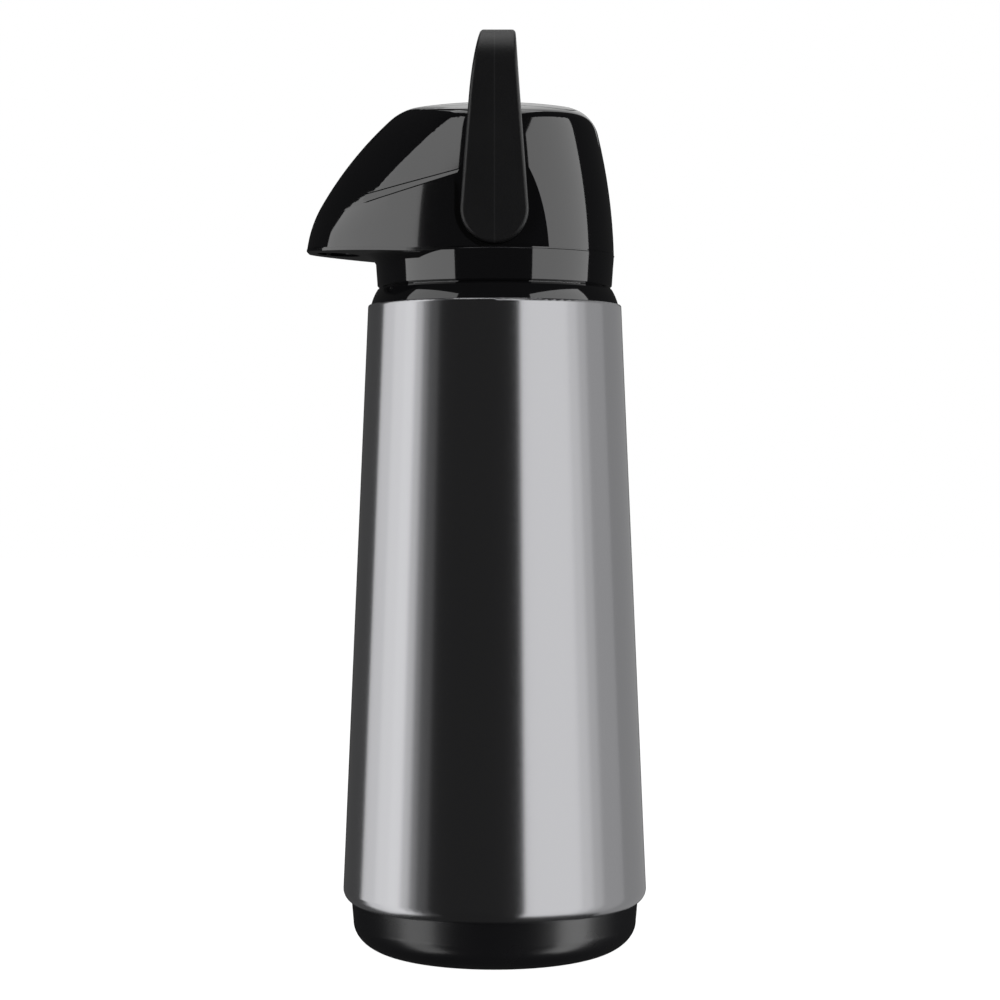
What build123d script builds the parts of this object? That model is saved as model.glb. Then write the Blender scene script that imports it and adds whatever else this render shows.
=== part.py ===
from build123d import *
import os
from math import acos, asin, atan2, cos, degrees, hypot, radians, sin, sqrt, tan

# Pump flask: a glass-lined bottle in a tapered steel sleeve, with a hooded pump head that screws on,
# a press lid in the crown of the head, and a strap handle that swings on the head's sides.
# Millimetres. The origin is the centre of the foot's resting plane, +Z is up, the spout points to -X.

# ---- driving dimensions ----

# steel sleeve
sleeve_bottom_z = 20.2
sleeve_top_z = 255.7
sleeve_hem_h = 4.8
sleeve_hem_in = 3.1
sleeve_max_r = 60.0
sleeve_taper_deg = 2.43
sleeve_wall = 0.6
sleeve_roll = 1.0

# base cup
cup_foot_r = 38.5
cup_wall = 2.4
cup_round_r = 17.2
cup_round_h = 12.1
cup_lean = 0.7
cup_recess_r = 33.0
cup_recess_h = 2.0
cup_spigot_h = 12.6
cup_boss_r = 19.0

# service plug and cushion
plug_r = 16.0
plug_flange_r = 20.0
plug_flange_h = 1.6
plug_h = 11.0
plug_grip = 5.0
cushion_r = 17.0
cushion_h = 12.0

# glass flask
flask_r = 46.5
flask_bottom_z = 15.0
flask_bottom_rise = 17.0
flask_shoulder_z = 238.5
flask_shoulder_r = 16.5
flask_neck_r = 22.5
flask_neck_bend_r = 6.0
flask_lip_z = 253.0
flask_lip_h = 2.0
glass_wall = 1.5
vacuum_gap = 4.0
neck_vacuum_gap = 2.1
nib_r = 3.5
nib_h = 4.0

# collar on the sleeve's top
gasket_h = 2.3
collar_flare_h = 5.8
collar_foot_r = 49.0
collar_top_r = 46.6
collar_bulge = 0.25
collar_skirt_h = 16.0
collar_wall = 2.6
collar_hole_r = 20.0
collar_neck_r = 43.2
collar_neck_h = 9.8
notch = 0.7

# tube unit
seal_h = 1.5
seal_r = 27.0
flange_r = 30.0
flange_h = 2.5
stopper_h = 12.0
stopper_r = 16.9
boss_r = 6.5
boss_h = 9.7
air_hole_r = 2.2
air_hole_circle_r = 11.5
tube_r = 4.5
tube_bore_r = 3.4
tube_floor_gap = 6.0

# head ring and floor
seam_z = 275.5
seam_gap = 0.35
seam_gap_in = 0.6
hood_rise = 2.2
hood_rise_x = -32.0
ring_r = 47.3
ring_foot_r = 46.5
ring_wall = 3.2
floor_t = 1.2
neck_blend_r = 6.4
flare_trim = 0.4
head_floor_z = 272.3
pump_hole_r = 14.0
outlet_x = -62.0
outlet_hole_r = 8.4

# hood in plan
hood_reach = 75.7
flank_deg = 18.0
turn_deg = 48.0
turn_r = 83.0

# dome and hood in elevation
dome_top_z = 335.6
wall_lean_deg = 1.5
wall_arc_r = 227.0
crown_r = 95.0
crown_core_r = 20.0
crown_deg = 75.0
dome_soft_r = 14.0
nose_x = -74.3
nose_z = 275.1
nose_start_deg = 4.4
nose_arcs = ((45.8, 30.2), (141.5, 47.8), (21.6, 82.1), (210.0, 108.0))
head_wall = 2.5
head_trim = 7.6

# cheeks, the proud lower sides of the head, below a narrow steep facet
cheek_arc_r = 300.0
cheek_proud = 0.4
cheek_slope = 3.0
cheek_front = (-50.0, -31.3, 295.5)
cheek_rear = (-15.1, -41.5, 304.3)

# handle and its pockets
pivot_z = 289.6
paddle_r = 13.0
pocket_gap = 2.2
pocket_floor_y = 42.5
pocket_backing_x = 26.0
handle_side_gap = 0.5
strap_t = 4.4
handle_top_z = 360.1
handle_corner_r = 18.0
leg_half = 9.8
leg_z = 332.0
grip_front_x = -5.0
grip_rear_x = 8.0
strap_round = 1.5
stub_r = 5.0
stub_run = 0.06
bush_wall = 2.0
bush_flange_r = 9.0
bush_flange_t = 1.6
barb = 0.8
barb_h = 1.6
barb_slot = 1.6

# press lid
lid_pivot_x = -46.6
lid_pivot_z = 312.6
lid_front_deg = 136.0
lid_inner_r = 4.6
lid_front_half = 11.0
lid_rear_half = 27.0
lid_shoulder_r = 40.0
lid_rear_r = 80.5
lid_corner_r = 17.0
lid_shoulder_round = 55.0
lid_gap = 0.5
lid_skirt = 4.5
lid_skirt_t = 1.6
lid_gap_deg = 1.5
lid_low_deg = -40.0
lid_front_wall_deg = 8.0
lid_front_space_deg = 70.0
well_wall = 1.6
well_low_deg = -4.0
well_front_x = -21.0
pin_r = 1.8
pin_run = 0.05
knuckle_r = 3.9
knuckle_half = 7.0
knuckle_web = 14.0
knuckle_web_deg = 70.0
ear_t = 3.0
ear_gap = 0.35
ear_run = 14.0

# pump
bellows_x = 4.0
bellows_r = 24.0
bellows_fold = 4.5
bellows_wall = 1.0
bellows_folds = 5
bellows_top_z = 318.0
chamber_r = 31.0
chamber_wall = 1.8
pump_floor_z = 294.0
pump_floor_t = 2.5
chamber_vent_r = 11.0
cap_r = 22.0
cap_t = 2.5
plunger_r = 9.0
plunger_wall = 2.0
intake_r = 4.0
flap_r = 7.0
flap_t = 0.8
spring_r = 15.0
spring_wire_r = 0.9
spring_wire_sides = 6
spring_turns = 5

# outlet
pipe_r = 5.0
pipe_bore_r = 3.6
pipe_z = 286.0
pipe_bend_r = 6.0
socket_r = 8.6
socket_h = 6.5
nozzle_r = 6.2
nozzle_bore_r = 4.2
nozzle_flange_r = 9.3
nozzle_flange_t = 1.6
nozzle_recess = 0.6
nozzle_h = 2.2

# fasteners and clearances
screw_r = 1.5
screw_head_r = 2.9
screw_head_h = 1.8
screw_h = 9.0
screw_seat = 2.4
post_r = 3.6
post_rib_t = 2.0
screw_circle_r = 36.4
screw_turns_deg = (45, 135, 225, 315)
bond = 0.3
fit = 0.1
clear = 0.3
far = 100.0

# ---- worked out from the driving dimensions ----

ring_foot_z = sleeve_top_z + collar_flare_h + notch + clear
sleeve_hem_z = sleeve_bottom_z + sleeve_hem_h
sleeve_roll_z = sleeve_top_z - sleeve_roll
sleeve_top_r = sleeve_max_r - (sleeve_roll_z - sleeve_hem_z) * tan(radians(sleeve_taper_deg))
cup_top_r = sleeve_max_r - sleeve_hem_in - 0.2
inner_inset = glass_wall + vacuum_gap
drink_inset = inner_inset + glass_wall
drink_neck_r = flask_neck_r - 2 * glass_wall - neck_vacuum_gap
gasket_top_z = flask_lip_z + gasket_h
collar_plate_z = gasket_top_z + collar_wall
collar_neck_top_z = ring_foot_z + collar_neck_h - 0.6
flange_z = collar_plate_z + seal_h
flange_top_z = flange_z + flange_h
tube_bottom_z = flask_bottom_z + drink_inset + tube_floor_gap
dome_wall_start = sin(radians(wall_lean_deg))
crown_axis_z = dome_top_z - crown_r
floor_z = seam_z - floor_t
spout_seat_z = seam_z + hood_rise
pocket_r = paddle_r + pocket_gap
leg_inner_y = pocket_floor_y + handle_side_gap
leg_outer_y = leg_inner_y + strap_t
pocket_back_y = pocket_floor_y - head_wall
cap_z = bellows_top_z
bush_r = stub_r + stub_run + bush_wall
lid_axis = Axis((lid_pivot_x, 0, lid_pivot_z), (0, -1, 0))


# ---- helpers ----


def turned(*points):
    """Solid of revolution about Z from (r, z) points."""
    return revolve(Plane.XZ * make_face(Polyline(*points, close=True)), Axis.Z)


def turned_face(edges):
    """Solid of revolution about Z from a closed chain of edges drawn as (r, z)."""
    return revolve(Plane.XZ * make_face(edges), Axis.Z)


def ring(outer, inner, low, high):
    """Plain ring about Z."""
    return turned((inner, low), (outer, low), (outer, high), (inner, high))


def disc(radius, low, high, x=0.0, y=0.0):
    """Upright cylinder from low to high."""
    return Pos(x, y, low) * Cylinder(radius, high - low, align=(Align.CENTER, Align.CENTER, Align.MIN))


def y_rod(radius, y_from, y_to, x, z):
    """Cylinder along Y."""
    middle = (y_from + y_to) / 2
    return Pos(x, middle, z) * Rot(90, 0, 0) * Cylinder(radius, abs(y_to - y_from))


def block(x_from, x_to, y_from, y_to, z_from, z_to):
    """Box between two corners."""
    size = Box(x_to - x_from, y_to - y_from, z_to - z_from)
    return Pos((x_from + x_to) / 2, (y_from + y_to) / 2, (z_from + z_to) / 2) * size


def both_sides(solid):
    """A solid and its mirror image across the XZ plane."""
    return [solid, mirror(solid, about=Plane.XZ)]


# ---- bottle ----


def sleeve_blank(inset):
    """Solid inside the steel sleeve's surface: rolled hem, taper, rolled top."""
    hem = (sleeve_max_r - sleeve_hem_in - inset, sleeve_bottom_z)
    bulge = (sleeve_max_r - inset, sleeve_hem_z)
    shoulder = (sleeve_top_r - inset, sleeve_roll_z)
    lip = (sleeve_top_r - sleeve_roll - inset, sleeve_top_z)
    return turned_face([
        Line((0, sleeve_bottom_z), hem),
        TangentArc(bulge, hem, tangent=(0, -1)),
        Line(bulge, shoulder),
        TangentArc(shoulder, lip, tangent=(0, 1)),
        Line(lip, (0, sleeve_top_z)),
        Line((0, sleeve_top_z), (0, sleeve_bottom_z)),
    ])


def make_steel_sleeve():
    return sleeve_blank(0) - sleeve_blank(sleeve_wall)


def make_base_cup():
    """Moulded cup that closes the sleeve: flat foot, soft bottom corner, spigot with a snap bead."""
    spigot_r = cup_top_r - 0.7
    bead_r = sleeve_max_r - sleeve_wall - 1.0
    wall_r = cup_top_r - cup_lean
    low = sleeve_bottom_z
    high = low + cup_spigot_h
    corner_centre = (wall_r - cup_round_r, cup_round_h)
    corner = EllipticalCenterArc(corner_centre, cup_round_r, cup_round_h, 270, arc_size=90)
    body = turned_face([
        Line((0, 0), corner @ 0),
        corner,
        Line(corner @ 1, (cup_top_r, low)),
        Line((cup_top_r, low), (spigot_r, low)),
        Line((spigot_r, low), (spigot_r, low + 1.0)),
        Line((spigot_r, low + 1.0), (bead_r, low + sleeve_hem_h)),
        Line((bead_r, low + sleeve_hem_h), (bead_r, high)),
        Line((bead_r, high), (0, high)),
        Line((0, high), (0, 0)),
    ])
    floor_top = cup_recess_h + cup_wall
    hollow_r = wall_r - cup_wall - 0.4
    hollow = turned(
        (0, floor_top), (cup_foot_r, floor_top), (hollow_r, cup_round_h + cup_wall),
        (hollow_r, high), (0, high),
    )
    boss = disc(cup_boss_r, cup_recess_h, cup_recess_h + plug_h - 1)
    recess = disc(cup_recess_r, 0, cup_recess_h)
    return body - hollow + boss - recess - disc(plug_r + fit, 0, high)


def make_base_plug():
    """Screw plug under the cup, with a bar to turn it by."""
    flange_low = cup_recess_h - plug_flange_h
    top = cup_recess_h + plug_h
    body = disc(plug_r, flange_low, top) + disc(plug_flange_r, flange_low, cup_recess_h)
    pocket = disc(plug_r - 3.0, flange_low, cup_recess_h + 4.0)
    bar = block(-plug_r + 2, plug_r - 2, -plug_grip / 2, plug_grip / 2, flange_low, cup_recess_h + 5.0)
    cup = disc(plug_r - 2.5, top - 3.0, top)
    return body - pocket + bar - cup


def make_liner_cushion():
    """Rubber cup under the flask, bored for the glass nib."""
    low = cup_recess_h + plug_h - 3.0
    pad = disc(plug_r - 2.6, low, low + 3.0) + disc(cushion_r, low + 3.0, low + cushion_h)
    return pad - flask_blank(0) - disc(nib_r + 1.0, low, low + cushion_h)


def flask_blank(inset, neck_r=flask_neck_r, top_z=flask_lip_z):
    """Solid inside one of the flask's four glass surfaces."""
    radius = flask_r - inset
    bottom = flask_bottom_z + inset
    rise = flask_bottom_rise
    shoulder_z = flask_shoulder_z - inset
    shoulder_r = flask_shoulder_r - inset
    wall_top = flask_shoulder_z - flask_shoulder_r
    bend = flask_neck_bend_r
    base = EllipticalCenterArc((0, bottom + rise), radius, rise, 270, arc_size=90)
    return turned_face([
        base,
        Line(base @ 1, (radius, wall_top)),
        TangentArc((radius, wall_top), (radius - shoulder_r, shoulder_z), tangent=(0, 1)),
        Line((radius - shoulder_r, shoulder_z), (neck_r + bend, shoulder_z)),
        TangentArc((neck_r + bend, shoulder_z), (neck_r, shoulder_z + bend), tangent=(-1, 0)),
        Line((neck_r, shoulder_z + bend), (neck_r, top_z)),
        Line((neck_r, top_z), (0, top_z)),
        Line((0, top_z), base @ 0),
    ])


def make_flask_outer():
    """Outer glass bulb with its sealed nib, closed onto the inner bulb at the lip."""
    bulb = flask_blank(0) - flask_blank(glass_wall, flask_neck_r - glass_wall)
    inner_r = drink_neck_r + glass_wall
    lip = ring(flask_neck_r - glass_wall, inner_r, flask_lip_z - flask_lip_h, flask_lip_z)
    nib = turned(
        (0, flask_bottom_z - nib_h), (nib_r / 2, flask_bottom_z - nib_h),
        (nib_r, flask_bottom_z + glass_wall / 2), (0, flask_bottom_z + glass_wall / 2),
    )
    return bulb + lip + nib


def make_flask_inner():
    return flask_blank(inner_inset, drink_neck_r + glass_wall) - flask_blank(drink_inset, drink_neck_r)


def make_lip_gasket():
    return ring(flask_neck_r + 1.0, drink_neck_r + 0.5, flask_lip_z, gasket_top_z)


def make_collar():
    """Black shoulder ring: skirt in the sleeve, flared rim, seat plate, screw neck for the head."""
    skirt_r = sleeve_top_r - sleeve_wall - sleeve_roll - fit
    rim_top = sleeve_top_z + collar_flare_h
    foot = (collar_foot_r, sleeve_top_z)
    waist = (collar_top_r, rim_top)
    middle = ((foot[0] + waist[0]) / 2 + collar_bulge, (foot[1] + waist[1]) / 2)
    edges = [
        Line((collar_hole_r, gasket_top_z), (skirt_r - collar_wall, gasket_top_z)),
        Line((skirt_r - collar_wall, gasket_top_z), (skirt_r - collar_wall, sleeve_top_z - collar_skirt_h)),
        Line((skirt_r - collar_wall, sleeve_top_z - collar_skirt_h), (skirt_r, sleeve_top_z - collar_skirt_h)),
        Line((skirt_r, sleeve_top_z - collar_skirt_h), (skirt_r, sleeve_top_z)),
        Line((skirt_r, sleeve_top_z), foot),
        ThreePointArc(foot, middle, waist),
        Line(waist, (collar_top_r - notch, rim_top + notch)),
        Line((collar_top_r - notch, rim_top + notch), (collar_neck_r, rim_top + notch)),
        Line((collar_neck_r, rim_top + notch), (collar_neck_r, collar_neck_top_z)),
        Line((collar_neck_r, collar_neck_top_z), (collar_neck_r - collar_wall, collar_neck_top_z)),
        Line((collar_neck_r - collar_wall, collar_neck_top_z), (collar_neck_r - collar_wall, collar_plate_z)),
        Line((collar_neck_r - collar_wall, collar_plate_z), (collar_hole_r, collar_plate_z)),
        Line((collar_hole_r, collar_plate_z), (collar_hole_r, gasket_top_z)),
    ]
    return turned_face(edges)


# ---- tube unit ----


def make_flange_seal():
    return ring(seal_r, collar_hole_r + 0.6, collar_plate_z, flange_z)


def make_tube_flange():
    """Stopper disc with a plug for the mouth, a boss for the outlet and four air holes."""
    body = disc(flange_r, flange_z, flange_top_z) + disc(stopper_r, flange_z - stopper_h, flange_z)
    body = body + disc(boss_r, flange_top_z, flange_top_z + boss_h)
    body = body - disc(tube_r + 0.05, flange_z - stopper_h, flange_z)
    body = body - disc(tube_bore_r, flange_z, flange_top_z + boss_h)
    for place in PolarLocations(air_hole_circle_r, 4, start_angle=45):
        body = body - place * disc(air_hole_r, flange_z - stopper_h, flange_top_z)
    return body


def make_dip_tube():
    """Straight drinking tube with its lower end cut on the slant."""
    tube = ring(tube_r, tube_bore_r, tube_bottom_z, flange_z)
    wedge = Pos(0, 0, tube_bottom_z) * Rot(0, 30, 0) * Box(40, 40, 2 * tube_r * sin(radians(30)))
    return tube - wedge


# ---- head form ----


def away(deg):
    """Outward direction in plan of a wall that faces deg towards the spout from +Y."""
    return Vector(-sin(radians(deg)), cos(radians(deg)))


def across(point):
    """A plan point's mirror image on the other side."""
    return Vector(point.X, -point.Y)


def flank_ends(length):
    """Plan points where the flank ends and the turn arc ends, for a flank of this length."""
    along = Vector(-cos(radians(flank_deg)), -sin(radians(flank_deg)))
    flank_end = away(flank_deg) * ring_r + along * length
    turn_end = flank_end + (away(turn_deg) - away(flank_deg)) * turn_r
    return flank_end, turn_end


def tip_x(length):
    """Where the broad tip arc crosses the middle, for a flank of this length."""
    turn_end = flank_ends(length)[1]
    return turn_end.X - turn_end.Y * (1 - sin(radians(turn_deg))) / cos(radians(turn_deg))


def head_outline(inset):
    """Plan outline of the head: rear circle, two straight flanks, two turn arcs and a broad tip."""
    length = (-hood_reach - tip_x(0)) / (tip_x(1) - tip_x(0))
    flank_end, turn_end = flank_ends(length)
    turn_centre = flank_end - away(flank_deg) * turn_r
    a = away(flank_deg) * (ring_r - inset)
    b = flank_end - away(flank_deg) * inset
    c = turn_centre + away((flank_deg + turn_deg) / 2) * (turn_r - inset)
    d = turn_end - away(turn_deg) * inset
    tip = Vector(inset - hood_reach, 0)
    return make_face([
        ThreePointArc(across(a), (ring_r - inset, 0), a),
        Line(a, b),
        ThreePointArc(b, c, d),
        ThreePointArc(d, tip, across(d)),
        ThreePointArc(across(d), across(c), across(b)),
        Line(across(b), across(a)),
    ])


def wall_lean(z, arc_r):
    """How far the leaning wall has moved in at height z."""
    rise = dome_wall_start + (z - seam_z) / arc_r
    return arc_r * (sqrt(1 - dome_wall_start ** 2) - sqrt(1 - rise ** 2))


def nose_profile(inset):
    """Side silhouette of nose, slope, shoulder and crown as tangent arcs, with its two ends."""
    first_r = nose_arcs[0][0]
    low = seam_z - head_trim
    heading = degrees(asin(sin(radians(nose_start_deg)) - (nose_z - low) / first_r))
    low_x = nose_x - first_r * (cos(radians(heading)) - cos(radians(nose_start_deg)))
    start = Vector(low_x, low)
    start = start + Vector(cos(radians(heading)), -sin(radians(heading))) * inset
    here = start
    edges = []
    for radius, end_deg in nose_arcs:
        centre = here + Vector(cos(radians(heading)), -sin(radians(heading))) * (radius - inset)

        def at(deg):
            return centre + Vector(-cos(radians(deg)), sin(radians(deg))) * (radius - inset)

        edges.append(ThreePointArc(here, at((heading + end_deg) / 2), at(end_deg)))
        here = at(end_deg)
        heading = end_deg
    return edges, start, here


def crown_form(inset):
    """The silhouette turned about a low fore-and-aft axis, so that the crown rounds off sideways."""
    edges, start, end = nose_profile(inset)
    low = crown_axis_z + crown_core_r
    edges.append(Line(end, (end.X, low)))
    edges.append(Line((end.X, low), (start.X, low)))
    edges.append(Line((start.X, low), start))
    axis = Axis((0, 0, crown_axis_z), (1, 0, 0))
    return revolve((Plane.XZ * make_face(edges)).rotate(axis, -crown_deg), axis, 2 * crown_deg)


def head_form(inset, arc_r=wall_arc_r, proud=0.0):
    """Form of the head moved in by inset: leaning walls, crown, and a soft edge between them.

    It reaches a little below the seam, so that the soft edge runs out past it. Only the walls stand proud.
    """
    low = seam_z - head_trim
    step = (dome_top_z - seam_z) / 4
    heights = (low, seam_z + step, seam_z + 2 * step, seam_z + 3 * step, dome_top_z + 5)
    walls = loft([Pos(0, 0, z) * head_outline(inset - proud + wall_lean(z, arc_r)) for z in heights])
    crown = crown_form(inset)
    form = walls & crown
    rim = [edge for edge in new_edges(walls, crown, combined=form) if edge.center().Z > low + fit]
    return form.fillet(dome_soft_r - inset, rim)


def cheek_zone():
    """Space below the cheeks' facet and ahead of the handle's pivots, on both sides."""
    front = Vector(cheek_front)
    along = Vector(cheek_rear) - front
    flank = away(flank_deg)
    down = Vector(flank.X, -flank.Y, -cheek_slope)
    facet = Plane(origin=front, x_dir=along, z_dir=down.cross(along))
    space = facet * Box(2 * far, 2 * far, 2 * far, align=(Align.CENTER, Align.CENTER, Align.MAX))
    return both_sides(space & block(-far, 0, -far, 0, seam_z - far, dome_top_z + far))


def under_hood(drop):
    """Space below the hood's bottom, which rises towards the nose, lowered by drop."""
    level = seam_z - drop
    reach = hood_reach + hood_rise_x
    face = make_face(Polyline(
        (far, level), (hood_rise_x, level), (hood_rise_x - 2 * reach, level + 2 * hood_rise),
        (hood_rise_x - 2 * reach, level - far), (far, level - far), close=True,
    ))
    return extrude(Plane.XZ * face, far, both=True)


def head_body():
    """Dome above the cheek line and proud cheeks below it, cut off at the seam."""
    dome = head_form(0)
    cheeks = head_form(0, cheek_arc_r, cheek_proud)
    zones = cheek_zone()
    for zone in zones:
        dome = dome - zone
    body = dome + (cheeks & zones[0]) + (cheeks & zones[1])
    return body - under_hood(0)


def pocket_cut():
    """Flat-floored side pockets that the handle's ends turn in, open to the rear."""
    low = seam_z - 1
    high = dome_top_z
    shape = make_face(Polyline(
        (-pocket_r, pivot_z), (-pocket_r, high), (far, high), (far, low), (0, low), (0, pivot_z), close=True,
    ))
    round_end = Pos(0, pivot_z) * Circle(pocket_r)
    face = Plane.XZ * (shape + round_end)
    return both_sides(extrude(Pos(0, -pocket_floor_y, 0) * face, far, dir=(0, -1, 0)))


def lid_sector(grow, from_deg, to_deg):
    """Space swept by the lid's outline about its hinge axis. Positive grow makes it larger."""
    inner = lid_inner_r - grow
    rear = lid_rear_r + grow
    shoulder = lid_shoulder_r
    front_half = lid_front_half + grow
    rear_half = lid_rear_half + grow
    face = make_face(Polyline(
        (inner, front_half), (shoulder, rear_half), (rear, rear_half),
        (rear, -rear_half), (shoulder, -rear_half), (inner, -front_half), close=True,
    ))
    rear_corners = face.vertices().group_by(Axis.X)[-1]
    face = fillet(rear_corners, lid_corner_r + grow)
    shoulders = [v for v in face.vertices() if abs(v.X - shoulder) < fit]
    face = fillet(shoulders, lid_shoulder_round + grow)
    return revolve(about_hinge(face, from_deg), lid_axis, to_deg - from_deg)


def cover_shell():
    """Dome and hood as a shell, thick behind the pockets, with the pockets and bush holes cut."""
    cavity = head_form(head_wall)
    low = seam_z - 2 * head_trim
    backing = block(-pocket_r - head_wall, pocket_backing_x, pocket_back_y, far, low, dome_top_z)
    for keep in both_sides(backing):
        cavity = cavity - keep
    shell = head_body() - cavity
    for cut in pocket_cut():
        shell = shell - cut
    for hole in both_sides(y_rod(bush_r + fit, pocket_back_y - clear, far, 0, pivot_z)):
        shell = shell - hole
    return shell


def guide_well():
    """Wall under the rim of the lid opening that guides the lid down."""
    well = lid_sector(lid_gap + well_wall, well_low_deg, lid_front_deg)
    well = well & head_form(head_wall - bond)
    return well - block(-far, well_front_x, -far, far, seam_z, dome_top_z)


def make_head_cover():
    """Dome and hood shell with side pockets, lid opening, guide well, hinge ears and screw posts."""
    shell = cover_shell() + guide_well() - lid_sector(lid_gap, lid_low_deg, lid_front_deg + lid_gap_deg)
    for ear in both_sides(make_ear()):
        shell = shell + ear
    pin_reach = knuckle_half + ear_gap + ear_t
    shell = shell - y_rod(pin_r + pin_run, -pin_reach, pin_reach, lid_pivot_x, lid_pivot_z)
    inside = head_form(head_wall - bond)
    for deg in screw_turns_deg:
        turn = Rot(0, 0, deg)
        rib = turn * block(screw_circle_r, far, -post_rib_t / 2, post_rib_t / 2, seam_z, seam_z + screw_h)
        post = turn * disc(post_r, seam_z, seam_z + screw_h, screw_circle_r)
        bore = turn * disc(screw_r, seam_z, seam_z + screw_h - 1, screw_circle_r)
        shell = shell + (rib & inside) + post - bore
    return shell


def make_ear():
    """Ear under the hood that holds one end of the lid's pin."""
    near = knuckle_half + ear_gap
    ear = y_rod(knuckle_r, near, near + ear_t, lid_pivot_x, lid_pivot_z)
    web = block(
        lid_pivot_x - ear_run, lid_pivot_x, near, near + ear_t, lid_pivot_z - knuckle_r, dome_top_z)
    return ear + (web & head_form(head_wall - bond) & front_of_lid())


def about_hinge(drawing, deg):
    """A flat drawing that starts at the lid's hinge axis, set there and tilted up by deg."""
    return (Pos(lid_pivot_x, 0, lid_pivot_z) * drawing).rotate(lid_axis, deg)


def front_of_lid():
    """Space in front of the lid's front edge."""
    face = make_face(Polyline((0, -far), (far, -far), (far, far), (0, far), close=True))
    return revolve(about_hinge(face, lid_front_deg + 2 * lid_gap_deg), lid_axis, lid_front_space_deg)


def neck_flare():
    """Hollow blend from the neck to the hood's floor, gone where the floor has no overhang."""
    top = floor_z + hood_rise / 2
    low = top - neck_blend_r
    arc_top = (ring_foot_r + neck_blend_r, top)
    flare = turned_face([
        Line((ring_foot_r - 1, low), (ring_foot_r, low)),
        TangentArc((ring_foot_r, low), arc_top, tangent=(0, 1)),
        Line(arc_top, (arc_top[0], top + floor_t)),
        Line((arc_top[0], top + floor_t), (ring_foot_r - 1, top + floor_t)),
        Line((ring_foot_r - 1, top + floor_t), (ring_foot_r - 1, low)),
    ])
    levels = (low, floor_z + hood_rise)
    trim = loft([Pos(0, 0, z) * head_outline(floor_z - z + flare_trim) for z in levels])
    return flare & trim & under_hood(floor_t / 2)


def make_head_base():
    """Screw ring, hood floor with the spout hole, and the hollow blend from neck to hood."""
    ring_z = ring_foot_z
    wall = turned(
        (ring_foot_r - ring_wall, ring_z), (ring_foot_r - notch, ring_z), (ring_foot_r, ring_z + notch),
        (ring_r, floor_z), (pump_hole_r, floor_z), (pump_hole_r, head_floor_z),
        (ring_foot_r - ring_wall, head_floor_z),
    )
    slab = extrude(Pos(0, 0, floor_z) * head_outline(0), floor_t + 2 * hood_rise)
    raised = extrude(Pos(0, 0, floor_z) * head_outline(seam_gap_in), floor_t + 2 * hood_rise)
    plate = (slab & under_hood(seam_gap)) + (raised & under_hood(0))
    plate = (plate - under_hood(floor_t)) & crown_form(0)
    seat = disc(nozzle_flange_r, floor_z + floor_t / 2, spout_seat_z, outlet_x) - under_hood(floor_t)
    body = wall + plate + seat + neck_flare()
    body = body - disc(pump_hole_r, ring_z, seam_z)
    body = body + ring(pump_hole_r + 4, pump_hole_r, flange_top_z + 2, head_floor_z)
    body = body - disc(outlet_hole_r, floor_z - 1, spout_seat_z, outlet_x)
    for deg in screw_turns_deg:
        turn = Rot(0, 0, deg)
        body = body - turn * disc(screw_r + fit, ring_z, seam_z, screw_circle_r)
        body = body - turn * disc(screw_head_r + fit, ring_z, seam_z - screw_seat, screw_circle_r)
    return body


def make_head_screws():
    """Four screws that hold the cover down on the head base."""
    head_top = seam_z - screw_seat
    screw = disc(screw_r - 0.05, head_top, seam_z + screw_h - 2, screw_circle_r)
    screw = screw + disc(screw_head_r, head_top - screw_head_h, head_top, screw_circle_r)
    return [Rot(0, 0, deg) * screw for deg in screw_turns_deg]


# ---- outlet ----


def pipe_path():
    """Centre line of the outlet: up from the boss, forward, down to the nozzle."""
    start = flange_top_z + boss_h
    return FilletPolyline(
        (0, 0, start), (0, 0, pipe_z), (outlet_x, 0, pipe_z), (outlet_x, 0, spout_seat_z + clear),
        radius=pipe_bend_r,
    )


def make_outlet_pipe():
    """Bent pipe with a socket that turns on the tube flange's boss."""
    start = flange_top_z + boss_h
    path = pipe_path()
    outside = sweep(Pos(0, 0, start) * Circle(pipe_r), path=path)
    inside = sweep(Pos(0, 0, start) * Circle(pipe_bore_r), path=path)
    socket = disc(socket_r, start - socket_h, start + 1.6)
    return outside + socket - disc(boss_r + stub_run, start - socket_h, start + clear) - inside


def make_spout_nozzle():
    """Short nozzle in the hood floor that the pipe plugs into."""
    low = spout_seat_z - nozzle_recess
    high = spout_seat_z + nozzle_h
    flange = disc(nozzle_flange_r, spout_seat_z, spout_seat_z + nozzle_flange_t, outlet_x)
    body = flange + disc(nozzle_r, low, high, outlet_x)
    socket = disc(pipe_r + 0.05, spout_seat_z + clear, high, outlet_x)
    return body - socket - disc(nozzle_bore_r, low, high, outlet_x)


# ---- pump ----


def make_pump_chamber():
    """Air drum under the bellows, with a floor they stand on and a slot for the pipe."""
    high = pump_floor_z
    low = high - pump_floor_t
    body = disc(chamber_r, seam_z, high) - disc(chamber_r - chamber_wall, seam_z, low)
    body = body - disc(chamber_vent_r, low, high, bellows_x)
    pipe_hole = Pos(-chamber_r, 0, pipe_z) * Rot(0, 90, 0) * Cylinder(pipe_r + fit, 4 * chamber_wall)
    return body - pipe_hole


def make_pump_seal():
    low = flange_top_z + clear
    return ring(pump_hole_r + 5, pump_hole_r - 1, low, flange_top_z + 2)


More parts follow.
